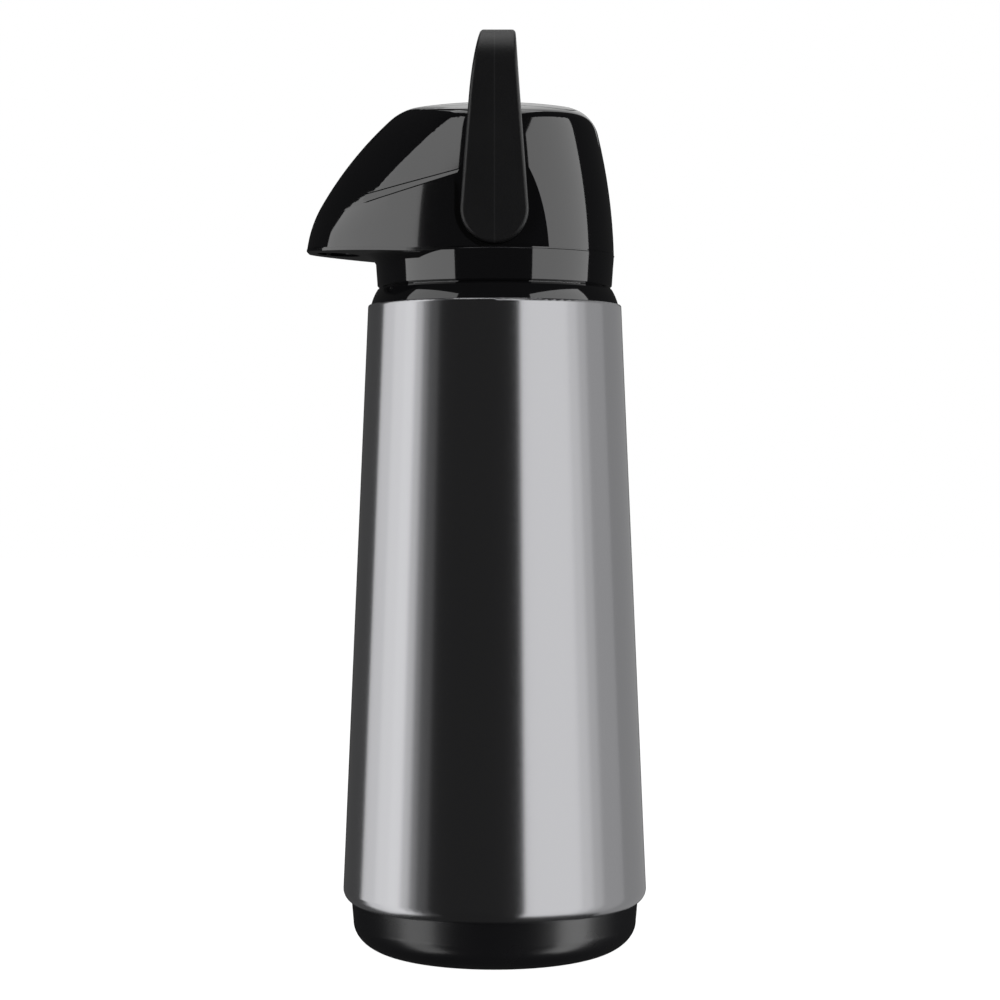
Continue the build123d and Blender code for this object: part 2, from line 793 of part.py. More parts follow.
def make_bellows():
    """Rubber bellows with flat end flanges."""
    low = pump_floor_z
    pitch = (bellows_top_z - low - 2 * bellows_wall) / bellows_folds
    outer = []
    inner = []
    valley = bellows_r - bellows_fold
    for i in range(bellows_folds):
        z = low + bellows_wall + i * pitch
        outer += [(valley, z), (bellows_r, z + pitch / 2)]
        inner += [(valley - bellows_wall, z), (bellows_r - bellows_wall, z + pitch / 2)]
    top = bellows_top_z - bellows_wall
    outer.append((valley, top))
    inner.append((valley - bellows_wall, top))
    profile = [(valley - 2.5, low), (valley + 2, low), (valley + 2, low + bellows_wall)] + outer
    profile += [(valley + 2, top), (valley + 2, bellows_top_z), (valley - 2.5, bellows_top_z)]
    profile += [(valley - 2.5, top)] + inner[::-1] + [(valley - 2.5, low + bellows_wall)]
    return Pos(bellows_x, 0, 0) * turned(*profile)


def make_return_spring():
    """Coil spring, its wire drawn six-sided to keep its facets few."""
    low = pump_floor_z + spring_wire_r
    height = bellows_top_z - pump_floor_z - 2 * spring_wire_r
    pitch = height / spring_turns
    path = Helix(pitch=pitch, height=height, radius=spring_r)
    wire = Plane(origin=path @ 0, z_dir=path % 0) * RegularPolygon(spring_wire_r, spring_wire_sides)
    return Pos(bellows_x, 0, low) * sweep(wire, path=path, is_frenet=True)


def make_bellows_cap():
    return disc(cap_r, cap_z, cap_z + cap_t, bellows_x) - disc(intake_r, cap_z, cap_z + cap_t, bellows_x)


def make_intake_flap():
    return disc(flap_r, cap_z - flap_t, cap_z, bellows_x)


# ---- press lid ----


def make_press_lid():
    """Lid cut from the head's own form: skin, skirt turned about the hinge, knuckle and plunger."""
    rim_form = head_form(0) - head_form(head_wall + lid_skirt)
    blank = rim_form & lid_sector(0, lid_low_deg, lid_front_deg)
    hollow = lid_sector(-lid_skirt_t, lid_low_deg - 1, lid_front_deg - lid_front_wall_deg)
    lid = blank - (hollow & head_form(head_wall))
    tube = disc(plunger_r, cap_z + cap_t, dome_top_z, bellows_x)
    tube = tube - disc(plunger_r - plunger_wall, cap_z + cap_t, dome_top_z, bellows_x)
    lid = lid + (tube & head_form(head_wall - bond)) + make_knuckle()
    return lid - y_rod(pin_r + pin_run, -knuckle_half - 1, knuckle_half + 1, lid_pivot_x, lid_pivot_z)


def make_knuckle():
    """Hinge knuckle on the pin, carried by the front of the lid's skin."""
    half = knuckle_half
    barrel = y_rod(knuckle_r, -half, half, lid_pivot_x, lid_pivot_z)
    face = make_face(Polyline((0, -half), (knuckle_web, -half), (knuckle_web, half), (0, half), close=True))
    web = revolve(about_hinge(face, knuckle_web_deg), lid_axis, lid_front_deg - knuckle_web_deg)
    return barrel + (web & head_form(head_wall - bond))


def make_lid_pin():
    reach = knuckle_half + ear_gap + ear_t
    return y_rod(pin_r, -reach, reach, lid_pivot_x, lid_pivot_z)


# ---- handle ----


def strap_front():
    """The strap seen from the side of the flask: round end, tangent tapering edges, narrow grip."""
    reach = hypot(leg_half, leg_z - pivot_z)
    touch = atan2(leg_half, leg_z - pivot_z) + acos(paddle_r / reach)
    start = Vector(paddle_r * sin(touch), pivot_z + paddle_r * cos(touch))
    knee = Vector(leg_half, leg_z)
    rear_top = Vector(grip_rear_x, handle_top_z + 1)
    front_top = Vector(grip_front_x, handle_top_z + 1)
    taper = knee - start
    low = Vector(0, pivot_z - paddle_r)
    return make_face([
        ThreePointArc(mirrored(start), low, start),
        Line(start, knee),
        TangentArc(knee, rear_top, tangent=taper),
        Line(rear_top, front_top),
        TangentArc(mirrored(knee), front_top, tangent=mirrored(taper)),
        Line(mirrored(knee), mirrored(start)),
    ])


def mirrored(point):
    """A drawn point or direction on the other side of the middle line."""
    return Vector(-point.X, point.Y)


def strap_band():
    """The strap seen from the front: an arch of even thickness."""
    low = pivot_z - paddle_r - 2
    outer = Pos(0, (low + handle_top_z) / 2) * Rectangle(2 * leg_outer_y, handle_top_z - low)
    outer = fillet(outer.vertices().group_by(Axis.Y)[-1], handle_corner_r)
    top = handle_top_z - strap_t
    inner = Pos(0, (low + top) / 2) * Rectangle(2 * leg_inner_y, top - low)
    inner = fillet(inner.vertices().group_by(Axis.Y)[-1], handle_corner_r - strap_t)
    return outer - inner


def make_handle():
    """Strap handle with a split, barbed stub on each side."""
    front = extrude(Plane.XZ * strap_front(), far, both=True)
    band = extrude(Plane.YZ * strap_band(), far, both=True)
    strap = front & band
    strap = strap.fillet(strap_round, strap.edges())
    inner_end = pocket_back_y - bush_flange_t - clear
    for side in (1, -1):
        stub = y_rod(stub_r, side * (leg_inner_y + 1), side * (inner_end - barb_h), 0, pivot_z)
        head = y_rod(stub_r + barb, side * inner_end, side * (inner_end - barb_h), 0, pivot_z)
        slot_y = sorted((side * (inner_end - barb_h - 1), side * (inner_end + 4)))
        slot = block(-barb_slot / 2, barb_slot / 2, slot_y[0], slot_y[1], pivot_z - 9, pivot_z + 9)
        strap = strap + ((stub + head) - slot)
    return strap


def make_handle_bushes():
    """Flanged bushes in the cover's walls that the stubs turn in."""
    low = pocket_back_y - bush_flange_t
    sleeve = y_rod(bush_r, low, pocket_floor_y - 0.2, 0, pivot_z)
    flange = y_rod(bush_flange_r, low, pocket_back_y, 0, pivot_z)
    return both_sides(sleeve + flange - y_rod(stub_r + stub_run, low, pocket_floor_y, 0, pivot_z))


# ---- write the parts ----

makers = {
    "steel_sleeve": make_steel_sleeve,
    "base_cup": make_base_cup,
    "base_plug": make_base_plug,
    "liner_cushion": make_liner_cushion,
    "flask_outer": make_flask_outer,
    "flask_inner": make_flask_inner,
    "lip_gasket": make_lip_gasket,
    "collar": make_collar,
    "flange_seal": make_flange_seal,
    "tube_flange": make_tube_flange,
    "dip_tube": make_dip_tube,
    "head_base": make_head_base,
    "head_cover": make_head_cover,
    "head_screws": make_head_screws,
    "pump_seal": make_pump_seal,
    "pump_chamber": make_pump_chamber,
    "outlet_pipe": make_outlet_pipe,
    "spout_nozzle": make_spout_nozzle,
    "bellows": make_bellows,
    "return_spring": make_return_spring,
    "bellows_cap": make_bellows_cap,
    "intake_flap": make_intake_flap,
    "press_lid": make_press_lid,
    "lid_pin": make_lid_pin,
    "handle_bushes": make_handle_bushes,
    "handle": make_handle,
}

os.makedirs("parts", exist_ok=True)
for name, maker in makers.items():
    made = maker()
    solids = made if isinstance(made, list) else [made]
    pieces = [piece for solid in solids for piece in solid.solids()]
    shape = pieces[0] if len(pieces) == 1 else Compound(children=pieces)
    export_step(shape, f"parts/{name}.step")
    print(name, len(pieces), round(sum(piece.volume for piece in pieces), 1))
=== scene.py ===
from math import cos, hypot, pi, radians, sin, sqrt, tan

import bmesh
import bpy
import numpy as np
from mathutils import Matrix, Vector


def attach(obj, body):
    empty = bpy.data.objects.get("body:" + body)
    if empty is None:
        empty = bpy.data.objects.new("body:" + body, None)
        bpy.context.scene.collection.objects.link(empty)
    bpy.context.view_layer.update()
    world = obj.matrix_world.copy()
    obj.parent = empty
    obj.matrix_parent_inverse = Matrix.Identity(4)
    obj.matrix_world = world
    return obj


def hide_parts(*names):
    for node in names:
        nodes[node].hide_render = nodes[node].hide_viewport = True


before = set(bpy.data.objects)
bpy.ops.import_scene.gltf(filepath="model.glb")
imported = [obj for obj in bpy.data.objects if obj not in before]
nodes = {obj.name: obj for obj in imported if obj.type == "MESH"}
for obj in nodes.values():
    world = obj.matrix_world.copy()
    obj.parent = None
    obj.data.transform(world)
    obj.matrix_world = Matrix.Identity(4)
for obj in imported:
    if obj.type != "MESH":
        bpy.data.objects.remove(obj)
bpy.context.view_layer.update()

# ---- camera, as the photograph was taken (its place in metres, lens and film in millimetres) ----
camera_place = (0.0021, -1.014, 0.1943)
camera_shift_y = -0.04
camera_lens = 91.9
camera_film_w = 36.0

# ---- studio (metres) ----
world_level = 0.02
white_level = 1.0
floor_reach = 4.0
floor_grey = 0.8
floor_glow = 1.0
lamp_distance = 1.5
# Each upright lamp: its two azimuths from the camera's to the right, lowest and highest z, level.
head_lamps = (
    (36, 101, -0.4, 1.37, 1.4),
)
# The lamp beside the spout, whose upper edge rises from the first height to the second.
slanted_lamp = (-94, -38, -0.4, (0.80, 1.42), 1.45)
slanted_parts = 16
collar_lamps = (
    (-94, -38, -0.4, 1.6, 1.1),
    (36, 101, -0.4, 1.6, 1.4),
)
cup_lamps = (
    (-80, -50, -2.0, 0.1, 1.9),
    (52, 82, -2.0, 0.1, 2.8),
)
handle_lamps = (
    (96, 140, -0.4, 1.35, 1.6),
)
sleeve_lamps = (
    (-165, -118, -1.6, 2.0, 0.05),
    (-118, -100, -1.6, 2.0, 0.78),
    (-100, -86, -1.6, 2.0, 0.92),
    (-86, -74, -1.6, 2.0, 0.98),
    (-74, -66, -1.6, 2.0, 0.62),
    (-66, -60, -1.6, 2.0, 0.20),
    (-60, -50, -1.6, 2.0, 0.07),
    (22, 68, -1.6, 2.0, 0.86),
    (68, 78, -1.6, 2.0, 0.72),
    (78, 88, -1.6, 2.0, 0.54),
    (88, 112, -1.6, 2.0, 0.38),
    (112, 165, -1.6, 2.0, 0.28),
)
top_level = 1.2
top_size = (0.8, 0.8)
top_place = (0, 0.1, 1.3)
back_level = 0.5
back_size = (1.5, 1.8)
back_place = (0, 1.3, 1.4)
back_target = (0, 0, 0.33)

# ---- finishes (metres) ----
steel_colour = (0.62, 0.62, 0.64)
steel_stretch = 0.85
steel_quarter_turn = 0.25
steel_rough = (0.20, 0.24)
brush_round = 1.2
brush_fine = 5200.0
brush_strength = 0.02
brush_depth = 0.0001
gloss_colour = (0.008, 0.008, 0.009)
handle_colour = (0.012, 0.012, 0.013)
mould_line_colour = (0.028, 0.028, 0.029)
mould_line_half_w = 0.0003
coat_rough = 0.03
cloud_scale = 35.0
cloud_spread = 0.2
grain_size = 0.0006
grain_depth = 0.0002

# ---- the head's outer form (millimetres and degrees) ----
mm = 0.001
ring_r = 47.3
flank_deg = 18.0
turn_deg = 48.0
turn_r = 83.0
hood_reach = 75.7
lean_start_z = 275.5
lean_start_deg = 1.5
lean_most = 0.9
dome_lean_r = 227.0
cheek_lean_r = 300.0
cheek_proud = 0.4
pocket_floor_y = 42.5
nose_x = -74.3
nose_z = 275.1
nose_start_deg = 4.4
# Chains of tangent arcs from the nose upwards and back: the radius and the heading at the end of each.
nose_arcs = ((45.8, 30.2), (141.5, 47.8), (21.6, 82.1), (210.0, 108.0))
slope_arcs = ((45.8, 30.2), (141.5, 47.8), (400.0, 75.0))
cad_axis_z = 240.6
cad_edge_r = 14.0
shade_axis_z = 185.6
shade_edge_r = 8.0
nose_axis = ((-46.0, 279.0), (-2.0, 299.5))
nose_edge_r = 14.0
slope_start = 0.5
slope_fade = 9.0

# ---- the bright strip across each cheek, and the cheek's bow (millimetres and degrees) ----
strip_front_x = -50.0
strip_rear_x = -15.1
strip_low_z = (293.4, 303.3)
strip_high_z = (296.6, 304.8)
strip_azimuth_deg = 23.0
strip_tilt_deg = 8.0
crease_half_w = 0.22
crease_azimuth_deg = 6.0
bow_x = -29.0
bow_reach = 15.0
bow_deg_per_mm = 0.15

# ---- how the skin is found and divided (millimetres, apart from the longest edge) ----
skin_depth = 2.5
skin_facing = 0.8
level_facing = 0.9995
pocket_near = 0.05
longest_edge = 0.0025
most_divisions = 5
gradient_step = 0.02
nearly_parallel = 0.995
tiny = 1e-9


# ---- materials ----


def set_inputs(node, **values):
    """Sets a shader node's own sockets by name, with underscores for spaces."""
    for name, value in values.items():
        node.inputs[name.replace("_", " ")].default_value = value


def add_node(tree, kind, **values):
    """Adds a shader node and sets its properties."""
    node = tree.nodes.new(kind)
    for name, value in values.items():
        setattr(node, name, value)
    return node


def new_material(name, **values):
    """A material with one Principled shader, its tree and that shader."""
    material = bpy.data.materials.new(name)
    material.use_nodes = True
    tree = material.node_tree
    shader = tree.nodes["Principled BSDF"]
    set_inputs(shader, **values)
    return material, tree, shader


def object_place(tree):
    """The socket of the object's own coordinates, and a socket for each of the three."""
    place = add_node(tree, "ShaderNodeTexCoord")
    split = add_node(tree, "ShaderNodeSeparateXYZ")
    tree.links.new(place.outputs["Object"], split.inputs[0])
    return place.outputs["Object"], split.outputs


def roughen(tree, shader, source, least, most):
    """Spreads a socket's values over a range of roughness."""
    spread = add_node(tree, "ShaderNodeMapRange")
    set_inputs(spread, To_Min=least, To_Max=most)
    tree.links.new(source, spread.inputs["Value"])
    tree.links.new(spread.outputs[0], shader.inputs["Roughness"])


def raise_surface(tree, shader, source, strength, depth):
    """Raises the surface by a socket's values."""
    bump = add_node(tree, "ShaderNodeBump")
    set_inputs(bump, Strength=strength, Distance=depth)
    tree.links.new(source, bump.inputs["Height"])
    tree.links.new(bump.outputs[0], shader.inputs["Normal"])


def brushed_steel():
    """Steel brushed round the sleeve: fine level lines that stretch its gloss upright."""
    material, tree, shader = new_material(
        "brushed_steel", Base_Color=(*steel_colour, 1), Metallic=1.0, Anisotropic=steel_stretch,
        Anisotropic_Rotation=steel_quarter_turn)
    _, axes = object_place(tree)
    angle = add_node(tree, "ShaderNodeMath", operation="ARCTAN2")
    tree.links.new(axes["Y"], angle.inputs[0])
    tree.links.new(axes["X"], angle.inputs[1])
    combine = add_node(tree, "ShaderNodeCombineXYZ")
    for source, factor, axis in ((angle.outputs[0], brush_round, "X"), (axes["Z"], brush_fine, "Y")):
        scaled = add_node(tree, "ShaderNodeMath", operation="MULTIPLY")
        scaled.inputs[1].default_value = factor
        tree.links.new(source, scaled.inputs[0])
        tree.links.new(scaled.outputs[0], combine.inputs[axis])
    lines = add_node(tree, "ShaderNodeTexNoise")
    set_inputs(lines, Scale=1.0, Detail=4.0, Roughness=0.6)
    tree.links.new(combine.outputs[0], lines.inputs["Vector"])
    roughen(tree, shader, lines.outputs["Fac"], *steel_rough)
    raise_surface(tree, shader, lines.outputs["Fac"], brush_strength, brush_depth)
    around = add_node(tree, "ShaderNodeTangent", direction_type="RADIAL", axis="Z")
    tree.links.new(around.outputs[0], shader.inputs["Tangent"])
    return material


def moulded(name, colour, rough, coat=0.0, grain=0.0, metallic=0.0):
    """A material with uneven gloss and, where asked, a clear coat, a fine grain or metal."""
    material, tree, shader = new_material(
        name, Base_Color=(*colour, 1), Metallic=metallic, Coat_Weight=coat, Coat_Roughness=coat_rough)
    place, _ = object_place(tree)
    cloud = add_node(tree, "ShaderNodeTexNoise")
    set_inputs(cloud, Scale=cloud_scale, Detail=3.0)
    tree.links.new(place, cloud.inputs["Vector"])
    least = rough * (1 - cloud_spread)
    most = rough * (1 + cloud_spread)
    roughen(tree, shader, cloud.outputs["Fac"], least, most)
    if grain:
        fine = add_node(tree, "ShaderNodeTexNoise")
        set_inputs(fine, Scale=1 / grain_size, Detail=2.0)
        tree.links.new(place, fine.inputs["Vector"])
        raise_surface(tree, shader, fine.outputs["Fac"], grain, grain_depth)
    return material


def draw_mould_line(material):
    """A thin paler line where the two halves of the handle's mould met."""
    tree = material.node_tree
    shader = tree.nodes["Principled BSDF"]
    _, axes = object_place(tree)
    off_line = add_node(tree, "ShaderNodeMath", operation="ABSOLUTE")
    tree.links.new(axes["X"], off_line.inputs[0])
    on_line = add_node(tree, "ShaderNodeMapRange")
    set_inputs(on_line, From_Min=mould_line_half_w / 2, From_Max=mould_line_half_w)
    set_inputs(on_line, To_Min=1.0, To_Max=0.0)
    tree.links.new(off_line.outputs[0], on_line.inputs["Value"])
    paint = add_node(tree, "ShaderNodeMix", data_type="RGBA")
    paint.inputs["A"].default_value = (*handle_colour, 1)
    paint.inputs["B"].default_value = (*mould_line_colour, 1)
    tree.links.new(on_line.outputs[0], paint.inputs["Factor"])
    tree.links.new(paint.outputs["Result"], shader.inputs["Base Color"])


steel = brushed_steel()
gloss = moulded("gloss_black", gloss_colour, 0.06, coat=1.0)
cup = moulded("cup_black", gloss_colour, 0.26)
satin = moulded("satin_black", handle_colour, 0.42, grain=0.25)
draw_mould_line(satin)
inner = moulded("inner_plastic", (0.62, 0.62, 0.6), 0.35, grain=0.1)
rubber = moulded("rubber_grey", (0.12, 0.12, 0.125), 0.6, grain=0.2)
glass = moulded("liner_glass", (0.75, 0.76, 0.78), 0.05, coat=0.5, metallic=1.0)
bright = moulded("steel_bright", (0.6, 0.6, 0.61), 0.2, metallic=1.0)

finish = {
    steel: ["steel_sleeve"],
    cup: ["base_cup"],
    gloss: ["base_plug", "collar", "head_base", "head_cover", "press_lid", "spout_nozzle"],
    satin: ["handle"],
    inner: ["tube_flange", "dip_tube", "pump_chamber", "outlet_pipe", "bellows_cap", "handle_bushes"],
    rubber: ["liner_cushion", "lip_gasket", "flange_seal", "pump_seal", "bellows", "intake_flap"],
    glass: ["flask_outer", "flask_inner"],
    bright: ["head_screws", "return_spring", "lid_pin"],
}
for material, names in finish.items():
    for name in names:
        mesh = nodes[name].data
        mesh.materials.clear()
        mesh.materials.append(material)


# ---- the head's outer form, worked out in millimetres ----


def away(deg):
    """A direction square to the flanks, turned from +Y towards the nose."""
    return np.array([-sin(radians(deg)), cos(radians(deg))])


def forwards(deg):
    """A direction towards the nose, turned by this much to the lower side."""
    return np.array([-cos(radians(deg)), -sin(radians(deg))])


def reach_of(length):
    """How far the hood reaches for a flank of this length."""
    flank_end = away(flank_deg) * ring_r + forwards(flank_deg) * length
    end = flank_end + (away(turn_deg) - away(flank_deg)) * turn_r
    return -(end[0] - end[1] * (1 - sin(radians(turn_deg))) / cos(radians(turn_deg)))


def plan_distance(x, y):
    """Distance outside the head's plan outline at the seam."""
    p = np.stack([x, np.abs(y)], axis=-1)
    shortest = reach_of(0.0)
    length = (hood_reach - shortest) / (reach_of(1.0) - shortest)
    flank_end = away(flank_deg) * ring_r + forwards(flank_deg) * length
    centre = flank_end - away(flank_deg) * turn_r
    turn_end = centre + away(turn_deg) * turn_r
    tip_r = turn_end[1] / cos(radians(turn_deg))
    tip_centre = turn_end - away(turn_deg) * tip_r
    run = p @ forwards(flank_deg)
    q = p - centre
    angle = np.degrees(np.arctan2(-q[..., 0], q[..., 1]))
    rear = np.hypot(p[..., 0], p[..., 1]) - ring_r
    flank = p @ away(flank_deg) - ring_r
    turn = np.hypot(q[..., 0], q[..., 1]) - turn_r
    nose = np.hypot(p[..., 0] - tip_centre[0], p[..., 1]) - tip_r
    ahead = np.where(angle < turn_deg, turn, nose)
    return np.where(run < 0, rear, np.where(run < length, flank, ahead))


def wall_lean(z, lean_r):
    """How far the wall has leaned inwards at each height."""
    start = sin(radians(lean_start_deg))
    rise = np.clip(start + (z - lean_start_z) / lean_r, -lean_most, lean_most)
    return lean_r * (sqrt(1 - start ** 2) - np.sqrt(1 - rise ** 2))


def profile_distance(x, z, arcs):
    """Distance outside a chain of tangent arcs drawn from the nose upwards and back."""
    heading = nose_start_deg
    here = np.array([nose_x, nose_z])
    best = None
    for radius, end in arcs:
        centre = here - forwards(-heading) * radius
        d = np.hypot(x - centre[0], z - centre[1]) - radius
        angle = np.degrees(np.arctan2(z - centre[1], centre[0] - x))
        best = d if best is None else np.where(angle >= heading, d, best)
        here = centre + forwards(-end) * radius
        heading = end
    return best


def gradient(form, p):
    """The direction at each point in which a form's distance grows fastest."""
    parts = []
    for axis in range(3):
        shift = np.zeros(3)
        shift[axis] = gradient_step
        parts.append(form(p + shift) - form(p - shift))
    g = np.stack(parts, axis=1)
    return g / np.maximum(np.linalg.norm(g, axis=1, keepdims=True), tiny)


def common(first, second, radius):
    """The common part of two forms, with the edge between them rounded."""
    def distance(p):
        u = first(p) + radius
        v = second(p) + radius
        c = np.sum(gradient(first, p) * gradient(second, p), axis=1)
        c = np.clip(c, -nearly_parallel, nearly_parallel)
        corner = np.sqrt(np.maximum(u * u - 2 * u * v * c + v * v, 0) / (1 - c * c))
        return np.where((u > c * v) & (v > c * u), corner, np.maximum(u, v)) - radius
    return distance


def wall_form(lean_r, proud):
    """The upright wall, which leans inwards by an arc and stands proud of the dome."""
    def distance(p):
        return plan_distance(p[:, 0], p[:, 1]) + wall_lean(p[:, 2], lean_r) - proud
    return distance


def crown_form(axis_z):
    """The nose's and crown's profile, turned about a level line at this height."""
    def distance(p):
        x, y, z = p[:, 0], p[:, 1], p[:, 2]
        return profile_distance(x, axis_z + np.hypot(y, z - axis_z), nose_arcs)
    return distance


def along_nose(p):
    """Places along and above the nose's axis, and the axis's direction and its upright."""
    (x0, z0), (x1, z1) = nose_axis
    run = np.array([x1 - x0, z1 - z0]) / hypot(x1 - x0, z1 - z0)
    rise = np.array([-run[1], run[0]])
    flat = p[:, [0, 2]] - np.array(nose_axis[0])
    return flat @ run, flat @ rise, run, rise


def slope_form(p):
    """The nose's slope, turned like a cone about a line inside it."""
    along, height, run, rise = along_nose(p)
    out = np.where(height > 0, np.hypot(height, p[:, 1]), np.abs(p[:, 1]))
    flat = np.array(nose_axis[0]) + along[:, None] * run + out[:, None] * rise
    return profile_distance(flat[:, 0], flat[:, 1], slope_arcs)


def shaded_normals(lean_r, proud, p):
    """The normals of a head with a flatter crown and a nose like a cone."""
    body = common(wall_form(lean_r, proud), crown_form(shade_axis_z), shade_edge_r)
    full = common(body, slope_form, nose_edge_r)
    part = np.clip((along_nose(p)[1] - slope_start) / slope_fade, 0, 1)
    part = (part * part * (3 - 2 * part))[:, None]
    n = (1 - part) * gradient(body, p) + part * gradient(full, p)
    return n / np.linalg.norm(n, axis=1, keepdims=True)


def above(p, line_z):
    """Height above one of the strip's two lines, seen from the side."""
    part = (p[:, 0] - strip_front_x) / (strip_rear_x - strip_front_x)
    return p[:, 2] - line_z[0] - part * (line_z[1] - line_z[0])


def bowed(normals, p, side):
    """Turns the flanks' normals as a slight bow of the cheeks would."""
    turn = np.radians(bow_deg_per_mm * np.clip(bow_x - p[:, 0], -bow_reach, bow_reach)) * side
    x, y, z = normals.T
    return np.stack([x * np.cos(turn) - y * np.sin(turn), x * np.sin(turn) + y * np.cos(turn), z], axis=1)


def out_of(side, azimuth_deg, tilt_deg):
    """A direction out of each flank, turned towards the nose and tilted upwards."""
    azimuth = radians(azimuth_deg)
    tilt = radians(tilt_deg)
    one = np.array([-sin(azimuth) * cos(tilt), cos(azimuth) * cos(tilt), sin(tilt)])
    return np.where(np.arange(3) == 1, side[:, None], 1) * one


def skin_normals(p, c):
    """The skin's normals at the corners p of faces whose centres are c."""
    side = np.sign(c[:, 1])
    ahead = c[:, 0] < 0
    beside = ahead & (c[:, 0] > strip_front_x)
    over_low = above(c, strip_low_z)
    over_high = above(c, strip_high_z)
    in_crease = (np.abs(over_low) < crease_half_w) | (np.abs(over_high) < crease_half_w)
    zones = (
        (beside & (over_high < 0), out_of(side, strip_azimuth_deg, strip_tilt_deg)),
        (beside & in_crease, out_of(side, crease_azimuth_deg, 0.0)),
        (ahead & (over_low < -crease_half_w), bowed(shaded_normals(cheek_lean_r, cheek_proud, p), p, side)),
    )
    normals = shaded_normals(dome_lean_r, 0.0, p)
    for zone, values in zones:
        normals[zone] = values[zone]
    return normals


# ---- gloss skins: copies of two solids, which stay where the solids are and get the form's normals ----


cad_dome = common(wall_form(dome_lean_r, 0.0), crown_form(cad_axis_z), cad_edge_r)


def read_rows(items, name, width, kind=float):
    """One property of all of a mesh's items, in rows of this width."""
    values = np.empty(len(items) * width, kind)
    items.foreach_get(name, values)
    return values.reshape(-1, width)


def skin_faces(mesh):
    """Which faces belong to the head's outer skin."""
    p = read_rows(mesh.polygons, "center", 3) / mm
    n = read_rows(mesh.polygons, "normal", 3)
    off_floor = np.abs(np.abs(p[:, 1]) - pocket_floor_y)
    in_pocket = (np.abs(n[:, 1]) > level_facing) & (off_floor < pocket_near)
    facing = np.sum(gradient(cad_dome, p) * n, axis=1)
    return (facing > skin_facing) & ~in_pocket & (cad_dome(p) > -skin_depth)


def cut_skin(shape, skin, low_z, high_z):
    """Cuts the skin along one line of the strip, straight through from the side."""
    faces = [face for face in shape.faces if face[skin]]
    edges = {edge for face in faces for edge in face.edges}
    corners = {corner for face in faces for corner in face.verts}
    slope = (high_z - low_z) / (strip_rear_x - strip_front_x)
    bmesh.ops.bisect_plane(
        shape, geom=[*faces, *edges, *corners], plane_co=(strip_front_x * mm, 0, low_z * mm),
        plane_no=(-slope, 0, 1))


def split_skin(mesh):
    """Divides the skin at the strip's creases and at its long edges."""
    flags = skin_faces(mesh)
    shape = bmesh.new()
    shape.from_mesh(mesh)
    skin = shape.faces.layers.int.new("skin")
    for face, flag in zip(shape.faces, flags):
        face[skin] = int(flag)
    for low_z, high_z in (strip_low_z, strip_high_z):
        for lift in (-crease_half_w, crease_half_w):
            cut_skin(shape, skin, low_z + lift, high_z + lift)
    for _ in range(most_divisions):
        longs = [edge for edge in shape.edges
                 if edge.calc_length() > longest_edge and any(face[skin] for face in edge.link_faces)]
        bmesh.ops.subdivide_edges(shape, edges=longs, cuts=1)
        bmesh.ops.triangulate(shape, faces=[face for face in shape.faces if len(face.verts) > 3])
    shape.to_mesh(mesh)
    shape.free()


def shade_skin(mesh):
    """Gives the skin's corners the form's normals, and leaves the rest of the mesh as it was."""
    mesh.shade_smooth()
    shading = read_rows(mesh.corner_normals, "vector", 3)
    corners_each = [face.loop_total for face in mesh.polygons]
    flags = read_rows(mesh.attributes["skin"].data, "value", 1, int)[:, 0]
    on_skin = np.repeat(flags, corners_each) == 1
    corner_vertex = read_rows(mesh.loops, "vertex_index", 1, int)[:, 0]
    places = read_rows(mesh.vertices, "co", 3)[corner_vertex[on_skin]]
    centres = np.repeat(read_rows(mesh.polygons, "center", 3), corners_each, axis=0)[on_skin]
    shading[on_skin] = skin_normals(places / mm, centres / mm)
    mesh.normals_split_custom_set(shading.tolist())


def polished(name, body, material):
    """A copy of a head node whose outer skin is shaded as the smooth form."""
    node = nodes[name]
    mesh = node.data.copy()
    mesh.transform(node.matrix_world)
    split_skin(mesh)
    shade_skin(mesh)
    piece = bpy.data.objects.new(name + "_skin", mesh)
    bpy.context.scene.collection.objects.link(piece)
    mesh.materials.clear()
    mesh.materials.append(material)
    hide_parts(name)
    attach(piece, body)
    return piece


skins = [
    polished("head_cover", "head", gloss),
    polished("press_lid", "lid", gloss),
]


# ---- studio ----


def show_camera(tree, others, seen, output):
    """Links one shader for the camera's own rays and another for all the other rays."""
    path = add_node(tree, "ShaderNodeLightPath")
    pick = add_node(tree, "ShaderNodeMixShader")
    tree.links.new(path.outputs["Is Camera Ray"], pick.inputs[0])
    tree.links.new(others.outputs[0], pick.inputs[1])
    tree.links.new(seen.outputs[0], pick.inputs[2])
    tree.links.new(pick.outputs[0], tree.nodes[output].inputs["Surface"])


def set_world():
    """A dim room that the camera sees as white."""
    world = bpy.data.worlds.new("studio")
    bpy.context.scene.world = world
    world.use_nodes = True
    tree = world.node_tree
    room = tree.nodes["Background"]
    set_inputs(room, Color=(1, 1, 1, 1), Strength=world_level)
    white = add_node(tree, "ShaderNodeBackground")
    set_inputs(white, Color=(1, 1, 1, 1), Strength=white_level)
    show_camera(tree, room, white, "World Output")


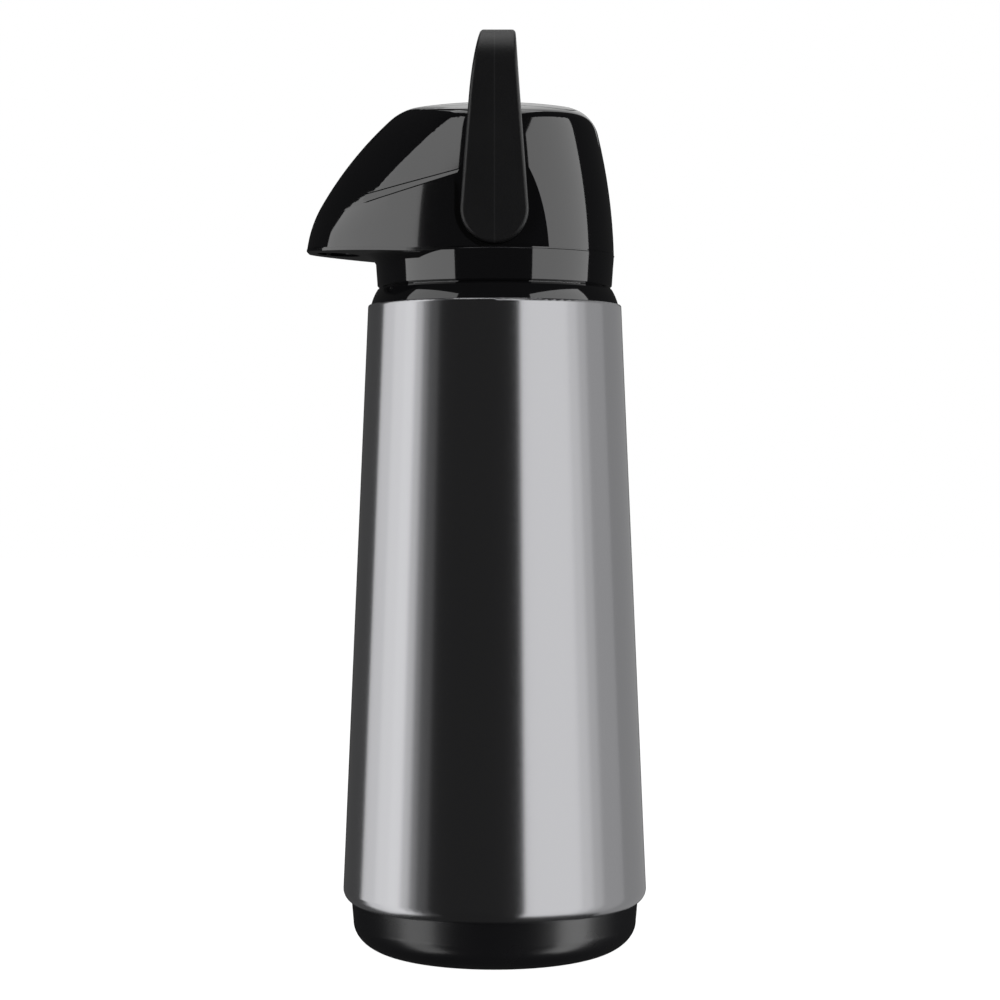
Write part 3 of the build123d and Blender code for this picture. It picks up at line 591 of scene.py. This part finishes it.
def stage_floor():
    """A pale floor that the camera sees as white and that casts no shadow."""
    mesh = bpy.data.meshes.new("floor")
    r = floor_reach
    mesh.from_pydata([(-r, -r, 0), (r, -r, 0), (r, r, 0), (-r, r, 0)], [], [(0, 1, 2, 3)])
    floor = bpy.data.objects.new("floor", mesh)
    bpy.context.scene.collection.objects.link(floor)
    colour = (floor_grey, floor_grey, floor_grey, 1)
    material, tree, shader = new_material(
        "floor_white", Base_Color=colour, Roughness=1.0, Specular_IOR_Level=0.0)
    glow = add_node(tree, "ShaderNodeEmission")
    set_inputs(glow, Strength=floor_glow)
    total = add_node(tree, "ShaderNodeAddShader")
    tree.links.new(shader.outputs[0], total.inputs[0])
    tree.links.new(glow.outputs[0], total.inputs[1])
    show_camera(tree, shader, total, "Material Output")
    floor.visible_glossy = False
    floor.visible_shadow = False
    mesh.materials.append(material)


def area_lamp(name, size, level, place):
    """A rectangular lamp that faces down, gives an even level and isn't seen by the camera."""
    lamp = bpy.data.lights.new(name, "AREA")
    lamp.shape = "RECTANGLE"
    lamp.size, lamp.size_y = size
    lamp.energy = level * pi * size[0] * size[1]
    box = bpy.data.objects.new(name, lamp)
    bpy.context.scene.collection.objects.link(box)
    box.location = place
    box.visible_camera = False
    return box


def aim(lamp, target, receivers):
    """Turns a lamp to face a point, and lets it light nothing but the receivers."""
    lamp.rotation_euler = (Vector(target) - lamp.location).to_track_quat("-Z", "Y").to_euler()
    lamp.light_linking.receiver_collection = receivers


def softbox(name, span, receivers):
    """An upright lamp across a span of azimuths, facing the flask's axis."""
    start, end, low_z, high_z, level = span
    middle = radians((start + end) / 2)
    middle_z = (low_z + high_z) / 2
    width = 2 * lamp_distance * tan(radians((end - start) / 2))
    place = (lamp_distance * sin(middle), -lamp_distance * cos(middle), middle_z)
    box = area_lamp(name, (width, high_z - low_z), level, place)
    aim(box, (0, 0, middle_z), receivers)


def slanted_spans():
    """Narrow lamps side by side, whose upper ends rise evenly."""
    start, end, low_z, (top_start, top_end), level = slanted_lamp
    step = (end - start) / slanted_parts
    rise = (top_end - top_start) / slanted_parts
    return [(start + i * step, start + (i + 1) * step, low_z, top_start + (i + 0.5) * rise, level)
            for i in range(slanted_parts)]


def lit_groups():
    """Collections of the pieces that each group of lamps lights."""
    groups = {
        "sleeve": ["steel_sleeve"],
        "head": [name for name in nodes if name not in ("steel_sleeve", "collar")],
        "collar": ["collar"],
        "cup": ["base_cup"],
        "handle": ["handle"],
    }
    lit = {}
    for group, names in groups.items():
        lit[group] = bpy.data.collections.new(group + "_parts")
        for name in names:
            lit[group].objects.link(nodes[name])
    for piece in skins:
        lit["head"].objects.link(piece)
    return lit


def set_lamps():
    """The upright lamps of each group, a lamp above everything and one behind the head."""
    lit = lit_groups()
    lamps = {
        "sleeve": sleeve_lamps,
        "head": [*slanted_spans(), *head_lamps],
        "collar": collar_lamps,
        "cup": cup_lamps,
        "handle": handle_lamps,
    }
    for group, spans in lamps.items():
        for i, span in enumerate(spans):
            softbox(f"{group}_box_{i}", span, lit[group])
    area_lamp("top_box", top_size, top_level, top_place)
    back_box = area_lamp("back_box", back_size, back_level, back_place)
    aim(back_box, back_target, lit["head"])


def set_camera():
    """A level camera with its picture shifted, as the photograph's was."""
    data = bpy.data.cameras.new("camera")
    data.lens = camera_lens
    data.sensor_width = camera_film_w
    data.shift_y = camera_shift_y
    camera = bpy.data.objects.new("camera", data)
    bpy.context.scene.collection.objects.link(camera)
    camera.location = camera_place
    camera.rotation_euler = (radians(90), 0, 0)
    bpy.context.scene.camera = camera


set_world()
stage_floor()
set_lamps()
set_camera()
bpy.context.scene.view_settings.view_transform = "Standard"
